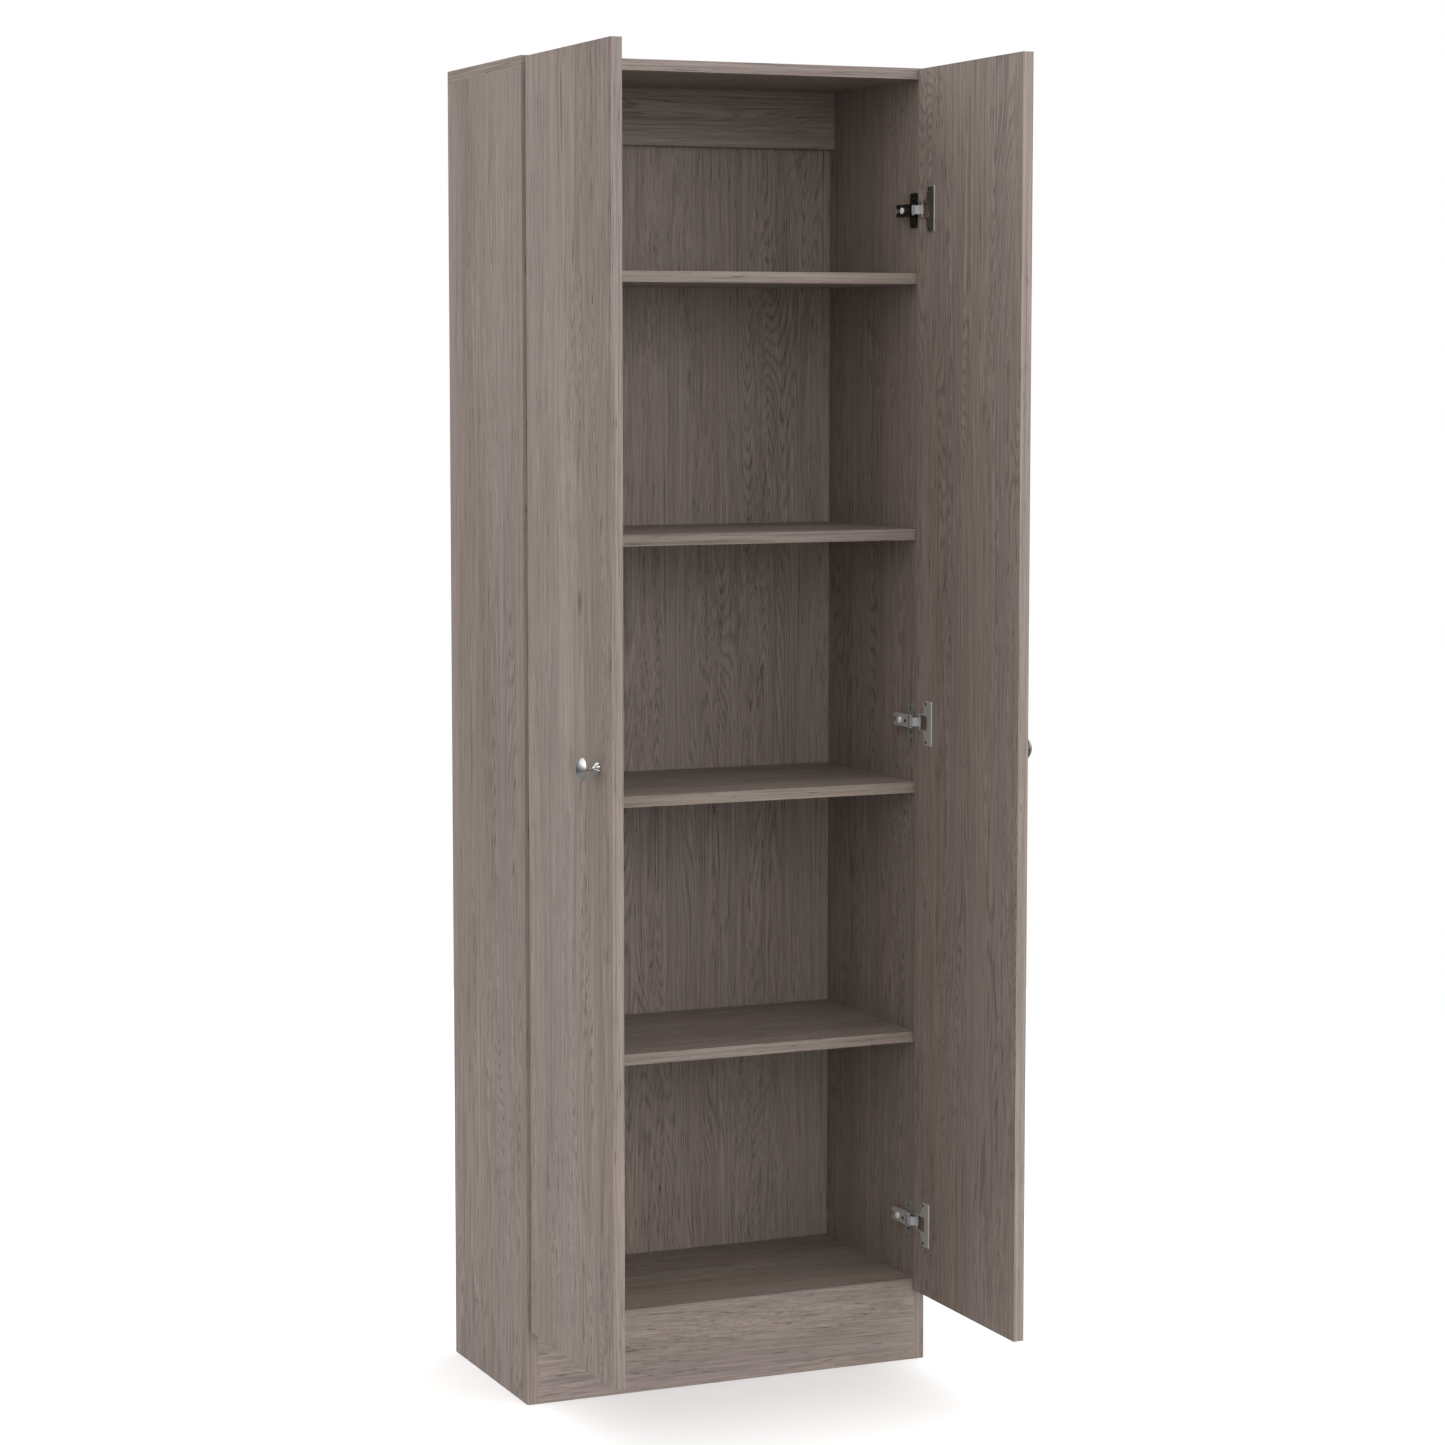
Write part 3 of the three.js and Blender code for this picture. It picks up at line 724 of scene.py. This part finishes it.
def hinge_screws(side, level):
    """The arm's fixing and adjusting screws, and the two screws in the plate's slots."""
    name = f"{side}_{level}_hinge"
    left = side == "left"

    def add(kind, template, finish_and_painted_light, x, y, z, *stands_for):
        mesh = facing(moved(template.copy(), x, y, z), side)
        piece(f"{name}_{kind}", mesh, finish_and_painted_light, "carcass", stands_for)

    low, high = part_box(f"{name}_fixing_screw")
    top = high.x if left else -low.x
    y, z = (low.y + high.y) / 2, (low.z + high.z) / 2
    seat = top - FIXING_SEAT
    # the fixing screw's near-white head is a painted highlight
    add("fixing_head", FIXING_SCREW, HIGHLIGHT_ZINC, seat, y, z, f"{name}_fixing_screw")
    arm_low, arm_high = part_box(f"{name}_arm")
    under = (arm_high.x if left else -arm_low.x) - ARM_WEB
    # the adjusting screw and the plate screws below are near black: painted shade
    add("adjusting_screw", ADJUSTING_SCREW, SHADE_DARK_ZINC, under - 0.4 * MM, y - ADJUSTER_AHEAD, z)
    plate_low, plate_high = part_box(f"{name}_plate")
    wall = plate_low.x if left else -plate_high.x
    for n, end in enumerate((-1, 1), 1):
        place = (wall + 1 * MM, plate_low.y + PLATE_SCREW_IN, z + end * PLATE_SCREW_HALF)
        add(f"plate_screw_{n}", PLATE_SCREW, SHADE_DARK_ZINC, *place)


def hardware():
    for side in ("left", "right"):
        for level in ("lower", "middle", "upper"):
            # the upper hinges take darker copies of the finishes: painted shade
            dark = level == "upper"
            finish_and_painted_light = UPPER_SHADE_NICKEL if dark else NICKEL
            for part, plating_and_shade in (("arm", NICKEL), ("plate", PLATE_SHADE_NICKEL)):
                node = f"{side}_{level}_hinge_{part}"
                dress(node, UPPER_SHADE_BLACK if dark else plating_and_shade)
                soften(node, THIN_EDGE)
            hinge_links(side, level)
            hinge_pins(side, level)
            hinge_cup(side, level, finish_and_painted_light)
            hinge_screws(side, level)
    knobs()


# ---- floor, light and camera ----
def studio():
    bpy.ops.mesh.primitive_circle_add(
        vertices=96, radius=3.2, fill_type="NGON", location=(0, 0, -0.4 * MM)
    )
    floor = bpy.context.object
    floor.name = "floor"
    s = Shader("pale_floor")
    place = s.node("ShaderNodeTexCoord").outputs["Object"]
    cloud = s.noise(s.scaled(place, (0.8, 0.8, 0.8)), 2.0)
    shown = s.tint(cloud, (0.86, 0.86, 0.86, 1.0), (0.88, 0.88, 0.88, 1.0))
    ray = s.node("ShaderNodeLightPath").outputs
    seen = ray["Is Camera Ray"]
    unseen = s.tint(ray["Is Glossy Ray"], (0.6, 0.6, 0.6, 1.0), (0.22, 0.22, 0.22, 1.0))
    s.put(s.tint(seen, unseen, shown), s.surface.inputs["Base Color"])
    s.surface.inputs["Roughness"].default_value = 0.8
    s.surface.inputs["Specular IOR Level"].default_value = 0.1
    s.surface.inputs["Emission Color"].default_value = (1, 1, 1, 1)
    s.put(s.calc("MULTIPLY", seen, 0.16), s.surface.inputs["Emission Strength"])
    floor.data.materials.append(s.material)

    surroundings()
    aim = Vector((0, 0, 0.9))
    softbox("key", (1.2, -4.8, 2.3), aim, 2.6, 42)
    softbox("top", (0.0, 0.4, 4.4), aim, 3.2, 40)


def surroundings():
    """A plain white background to look at, and a soft dome that lights the cabinet."""
    world = bpy.data.worlds.new("studio")
    bpy.context.scene.world = world
    world.use_nodes = True
    nodes, links = world.node_tree.nodes, world.node_tree.links
    nodes.clear()
    seen = nodes.new("ShaderNodeBackground")
    seen.inputs["Color"].default_value = (1, 1, 1, 1)
    seen.inputs["Strength"].default_value = 1.0
    lit = nodes.new("ShaderNodeBackground")
    lit.inputs["Color"].default_value = (1.0, 0.995, 0.99, 1)
    direction = nodes.new("ShaderNodeTexCoord")
    parts = nodes.new("ShaderNodeSeparateXYZ")
    links.new(direction.outputs["Generated"], parts.inputs[0])

    def calc(operation, a, b, c=0.0):
        made = nodes.new("ShaderNodeMath")
        made.operation = operation
        for socket, value in zip(made.inputs, (a, b, c)):
            if isinstance(value, bpy.types.NodeSocket):
                links.new(value, socket)
            else:
                socket.default_value = value
        return made.outputs[0]

    def ramp(value, start, end, low, high):
        """low where the value is under start and high where it is over end, smooth in between."""
        made = nodes.new("ShaderNodeMapRange")
        made.interpolation_type = "SMOOTHSTEP"
        sockets = ("From Min", "From Max", "To Min", "To Max")
        for socket, number in zip(sockets, (start, end, low, high)):
            made.inputs[socket].default_value = number
        links.new(value, made.inputs["Value"])
        return made.outputs[0]

    # brighter ahead than behind and to the sides than straight ahead, dim under the horizon
    height = ramp(parts.outputs["Z"], -0.12, 0.02, 0.5, 1.3)
    ahead = calc("MULTIPLY_ADD", parts.outputs["Y"], -0.42, 1.0)
    aside = calc("MULTIPLY_ADD", calc("ABSOLUTE", parts.outputs["X"], 0.0), 0.45, 0.78)
    strength = calc("MULTIPLY", height, calc("MULTIPLY", ahead, aside))

    # metal mirrors a dome that is darker low down and straight ahead
    shine = ramp(parts.outputs["Z"], 0.08, 0.5, 0.3, 1.35)
    front = ramp(parts.outputs["Y"], -0.95, -0.35, 0.25, 1.0)
    ray = nodes.new("ShaderNodeLightPath").outputs
    change = calc("SUBTRACT", calc("MULTIPLY", shine, front), 1.0)
    mirrored = calc("MULTIPLY_ADD", ray["Is Glossy Ray"], change, 1.0)
    links.new(calc("MULTIPLY", strength, mirrored), lit.inputs["Strength"])
    both = nodes.new("ShaderNodeMixShader")
    out = nodes.new("ShaderNodeOutputWorld")
    links.new(ray["Is Camera Ray"], both.inputs[0])
    links.new(lit.outputs[0], both.inputs[1])
    links.new(seen.outputs[0], both.inputs[2])
    links.new(both.outputs[0], out.inputs["Surface"])


def softbox(name, place, aim, size, watts):
    light = bpy.data.lights.new(name, "AREA")
    light.shape = "SQUARE"
    light.size = size
    light.energy = watts
    shown = bpy.data.objects.new(name, light)
    shown.location = place
    shown.rotation_euler = (Vector(place) - aim).to_track_quat("Z", "Y").to_euler()
    bpy.context.scene.collection.objects.link(shown)


def camera():
    made = bpy.data.objects.new("camera", bpy.data.cameras.new("camera"))
    made.location = (-1.9621, -4.3929, 1.3982)
    made.rotation_euler = (math.radians(90 - 5.2283), math.radians(0.1182), math.radians(-22.5285))
    made.data.sensor_width = 36
    made.data.lens = 88.388
    made.data.shift_x = 0.0595
    made.data.shift_y = -0.02
    made.data.clip_end = 60
    bpy.context.scene.collection.objects.link(made)
    bpy.context.scene.camera = made
    bpy.context.scene.view_settings.view_transform = "Standard"


camera()
studio()
boards()
hardware()
